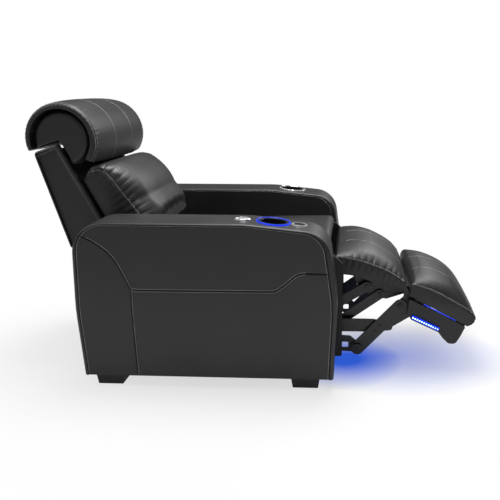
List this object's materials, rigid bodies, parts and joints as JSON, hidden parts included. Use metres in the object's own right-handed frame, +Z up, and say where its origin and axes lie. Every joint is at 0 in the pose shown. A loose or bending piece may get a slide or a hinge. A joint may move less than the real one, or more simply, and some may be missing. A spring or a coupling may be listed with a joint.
{
  "type": "cinema recliner seat",
  "caption": "Power cinema recliner with padded arms, cup holders, reclining back, tilting headrest and a folding two-pad footrest on a link mechanism.",
  "frame": {"origin": "on the floor, under the centre of the box round the seat as it stands with its footrest out", "axes": "+Z up, -Y the way the sitter faces, +X to the sitter's left"},
  "size_m": [0.9414, 1.7302, 1.0498],
  "materials": {
    "black_leather": "smooth grained black leather, light grey stitching",
    "plywood": "raw plywood",
    "black_board": "plywood stained black",
    "foot_plastic": "black moulded plastic",
    "cup_steel": "dark brushed steel well and flange",
    "blue_light_ring": "lit blue light ring",
    "chrome_trim": "polished",
    "button_black": "black button with a small blue lamp",
    "black_steel": "satin black powder coat",
    "spring_steel": "oiled spring wire",
    "black_plastic": "black moulded housing",
    "slider_nylon": "natural nylon",
    "bright_steel": "zinc plated",
    "blue_light_bar": "lit blue strip light"
  },
  "bodies": {
    "base": {"right_arm_cover": "black_leather", "left_arm_cover": "black_leather", "right_side_panel": "black_leather", "left_side_panel": "black_leather", "right_inner_panel": "black_leather", "left_inner_panel": "black_leather", "right_arm_frame": "plywood", "left_arm_frame": "plywood", "feet": "foot_plastic", "right_cup_holder": "cup_steel", "left_cup_holder": "cup_steel", "right_cup_ring": "blue_light_ring", "left_cup_ring": "chrome_trim", "recline_button_bezel": "chrome_trim", "footrest_button_bezel": "chrome_trim", "right_seat_side": "black_board", "left_seat_side": "black_board", "cross_members": "black_steel", "slide_rails": "black_steel", "seat_springs": "spring_steel", "seat_cushion": "black_leather", "rear_panel": "black_leather", "power_inlet": "black_plastic", "power_supply": "black_plastic", "footrest_actuator": "black_plastic", "recline_hinges": "black_steel", "motor_bracket": "black_steel"},
    "recline_button": {"recline_button": "chrome_trim"},
    "footrest_button": {"footrest_button": "button_black"},
    "backrest": {"right_back_wing": "black_leather", "left_back_wing": "black_leather", "back_frame": "black_steel", "rear_shell": "black_leather", "back_cushion": "black_leather", "headrest_hinges": "black_steel"},
    "headrest": {"headrest_core": "black_leather", "headrest_wrap": "black_leather"},
    "recline_motor": {"recline_motor": "black_plastic"},
    "recline_rod": {"recline_rod": "bright_steel"},
    "carriage": {"carriage_plates": "black_steel", "carriage_cross_tubes": "black_steel", "slide_blocks": "slider_nylon", "carriage_pins": "bright_steel", "knee_knobs": "black_steel", "actuator_rod": "bright_steel"},
    "long_links": {"right_long_link": "black_steel", "left_long_link": "black_steel"},
    "foot_section": {"foot_brackets": "black_steel", "foot_board": "black_board", "foot_pad": "black_leather", "light_bar_carriers": "black_plastic", "light_bars": "blue_light_bar", "foot_pins": "bright_steel"},
    "calf_section": {"calf_brackets": "black_steel", "calf_board": "black_board", "calf_pad": "black_leather", "calf_bolts": "bright_steel"},
    "upper_stays": {"upper_stays": "black_steel"},
    "lower_stays": {"lower_stays": "black_steel"},
    "rockers": {"rocker_links": "black_steel"}
  },
  "joints": [
    {"name": "recline", "type": "hinge", "parent": "base", "child": "backrest", "pos_m": [0, 0.5313, 0.44], "axis": [-1, 0, 0], "range_deg": [-12, 28]},
    {"name": "headrest_tilt", "type": "hinge", "parent": "backrest", "child": "headrest", "pos_m": [0, 0.6513, 0.838], "axis": [1, 0, 0], "range_deg": [0, 16]},
    {"name": "recline_motor_swing", "type": "hinge", "parent": "base", "child": "recline_motor", "pos_m": [0, 0.4113, 0.112], "axis": [-1, 0, 0], "range_deg": [-7, 4]},
    {"name": "recline_rod_slide", "type": "slide", "parent": "recline_motor", "child": "recline_rod", "axis": [0, 0.657, 0.7539], "range_m": [-0.06, 0.04]},
    {"name": "footrest_slide", "type": "slide", "parent": "base", "child": "carriage", "axis": [0, 1, 0], "range_m": [0, 0.263]},
    {"name": "long_link_swing", "type": "hinge", "parent": "carriage", "child": "long_links", "pos_m": [0, -0.4017, 0.073], "axis": [-1, 0, 0], "range_deg": [0, 23.4]},
    {"name": "foot_section_turn", "type": "hinge", "parent": "long_links", "child": "foot_section", "pos_m": [0, -0.5687, 0.254], "axis": [1, 0, 0], "range_deg": [0, 86.4]},
    {"name": "calf_section_turn", "type": "hinge", "parent": "foot_section", "child": "calf_section", "pos_m": [0, -0.5917, 0.31], "axis": [-1, 0, 0], "range_deg": [0, 84.1]},
    {"name": "upper_stay_swing", "type": "hinge", "parent": "calf_section", "child": "upper_stays", "pos_m": [0, -0.4367, 0.325], "axis": [1, 0, 0], "range_deg": [0, 32.4]},
    {"name": "lower_stay_swing", "type": "hinge", "parent": "calf_section", "child": "lower_stays", "pos_m": [0, -0.4887, 0.289], "axis": [1, 0, 0], "range_deg": [0, 23.9]},
    {"name": "rocker_swing", "type": "hinge", "parent": "carriage", "child": "rockers", "pos_m": [0, -0.5268, 0.164], "axis": [-1, 0, 0], "range_deg": [0, 89.8]},
    {"name": "recline_button_press", "type": "slide", "parent": "base", "child": "recline_button", "axis": [0, 0, -1], "range_m": [0, 0.002], "stiffness_N_per_m": 1500, "springref_m": -0.0005},
    {"name": "footrest_button_press", "type": "slide", "parent": "base", "child": "footrest_button", "axis": [0, 0.1023, -0.9948], "range_m": [0, 0.002], "stiffness_N_per_m": 1500, "springref_m": -0.0005}
  ],
  "couplings": [
    {"joint": "recline_motor_swing", "follows": "recline", "ratio": -0.22},
    {"joint": "recline_rod_slide", "follows": "recline", "m_per_rad": -0.11324},
    {"joint": "long_link_swing", "follows": "footrest_slide", "rad_per_m": 1.5462},
    {"joint": "foot_section_turn", "follows": "footrest_slide", "rad_per_m": 5.7271},
    {"joint": "calf_section_turn", "follows": "footrest_slide", "rad_per_m": 5.5744},
    {"joint": "upper_stay_swing", "follows": "footrest_slide", "rad_per_m": 2.1415},
    {"joint": "lower_stay_swing", "follows": "footrest_slide", "rad_per_m": 1.5794},
    {"joint": "rocker_swing", "follows": "footrest_slide", "rad_per_m": 5.9514}
  ]
}
